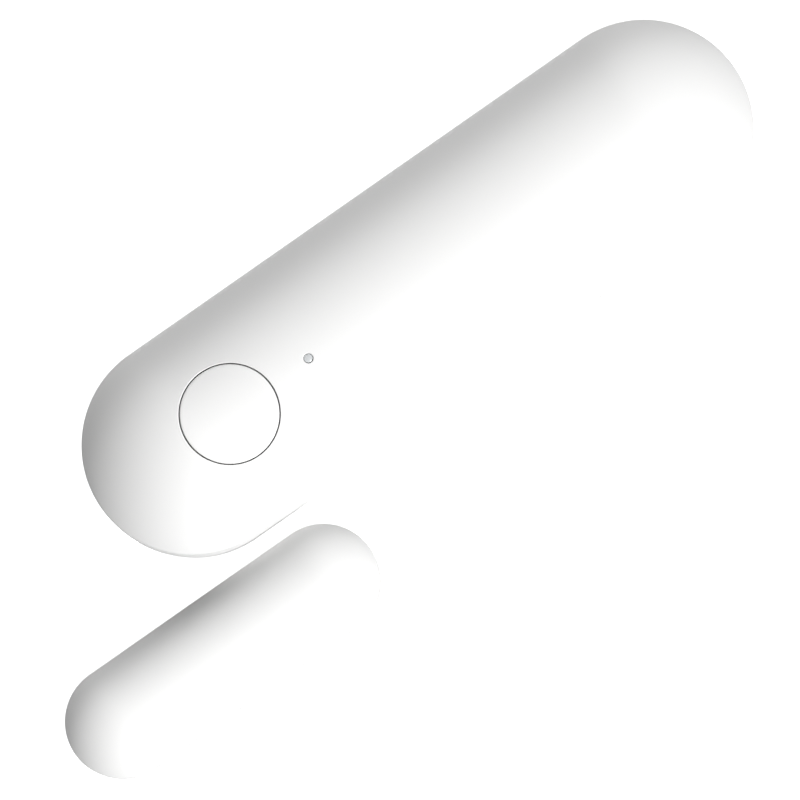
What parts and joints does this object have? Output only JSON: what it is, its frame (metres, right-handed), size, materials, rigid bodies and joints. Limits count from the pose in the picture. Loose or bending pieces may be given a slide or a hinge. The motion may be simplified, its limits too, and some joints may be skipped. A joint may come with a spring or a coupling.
{
  "type": "door contact sensor",
  "caption": "Two-piece wireless door contact sensor: a long round-ended sensor unit with a push button and indicator light, and a small round-ended magnet unit.",
  "frame": {"origin": "middle of the sensor unit's adhesive back, which lies on the door frame", "axes": "+Z out of the sensor's face; +X along the sensor unit, away from its button end; the magnet unit lies on the -Y side"},
  "size_m": [0.0939, 0.0354, 0.0156],
  "materials": {
    "white_shell": "fine satin, moulded white",
    "white_button": "fine satin, moulded white",
    "clear_plastic": "milky clear",
    "inner_plastic": "matt, moulded white",
    "foam_tape": "soft foam tape",
    "board_green": "satin solder mask",
    "black_plastic": "matt",
    "component_white": "satin",
    "component_tan": "satin",
    "reed_glass": "clear, faintly green",
    "cell_steel": "plated can, with the density of a whole cell",
    "cell_sleeve": "printed film",
    "steel": "bright",
    "nickel": "nickel plate",
    "magnet_alloy": "nickel-plated magnet"
  },
  "bodies": {
    "sensor_base": {"sensor_back_plate": "inner_plastic", "sensor_adhesive_pad": "foam_tape", "inner_chassis": "inner_plastic", "circuit_board": "board_green", "board_screw_1": "steel", "board_screw_2": "steel", "tact_switch_body": "black_plastic", "indicator_led": "component_white", "radio_ic": "black_plastic", "chip_antenna": "component_white", "crystal": "nickel", "capacitor_1": "component_tan", "capacitor_2": "component_tan", "reed_switch_glass": "reed_glass", "reed_lead_inner": "steel", "reed_lead_outer": "steel", "battery_can": "cell_steel", "battery_sleeve": "cell_sleeve", "contact_negative": "nickel", "contact_positive": "nickel"},
    "cover": {"sensor_cover": "white_shell", "light_pipe": "clear_plastic"},
    "button": {"button_cap": "white_button"},
    "plunger": {"tact_switch_plunger": "component_white"},
    "magnet_unit": {"magnet_cover": "white_shell", "magnet_back_plate": "inner_plastic", "bar_magnet": "magnet_alloy", "magnet_adhesive_pad": "foam_tape"}
  },
  "joints": [
    {"name": "cover_lift", "type": "slide", "parent": "sensor_base", "child": "cover", "axis": [0, 0, 1], "range_m": [0, 0.03]},
    {"name": "button_press", "type": "slide", "parent": "cover", "child": "button", "axis": [0, 0, -1], "range_m": [0, 0.0005], "stiffness_N_per_m": 400, "springref_m": -0.0002},
    {"name": "plunger_press", "type": "slide", "parent": "sensor_base", "child": "plunger", "axis": [0, 0, -1], "range_m": [0, 0.0005]},
    {"name": "magnet_travel", "type": "slide", "parent": "sensor_base", "child": "magnet_unit", "axis": [0, -1, 0], "range_m": [0, 0.04]}
  ],
  "couplings": [
    {"joint": "plunger_press", "follows": "button_press", "ratio": 1}
  ]
}
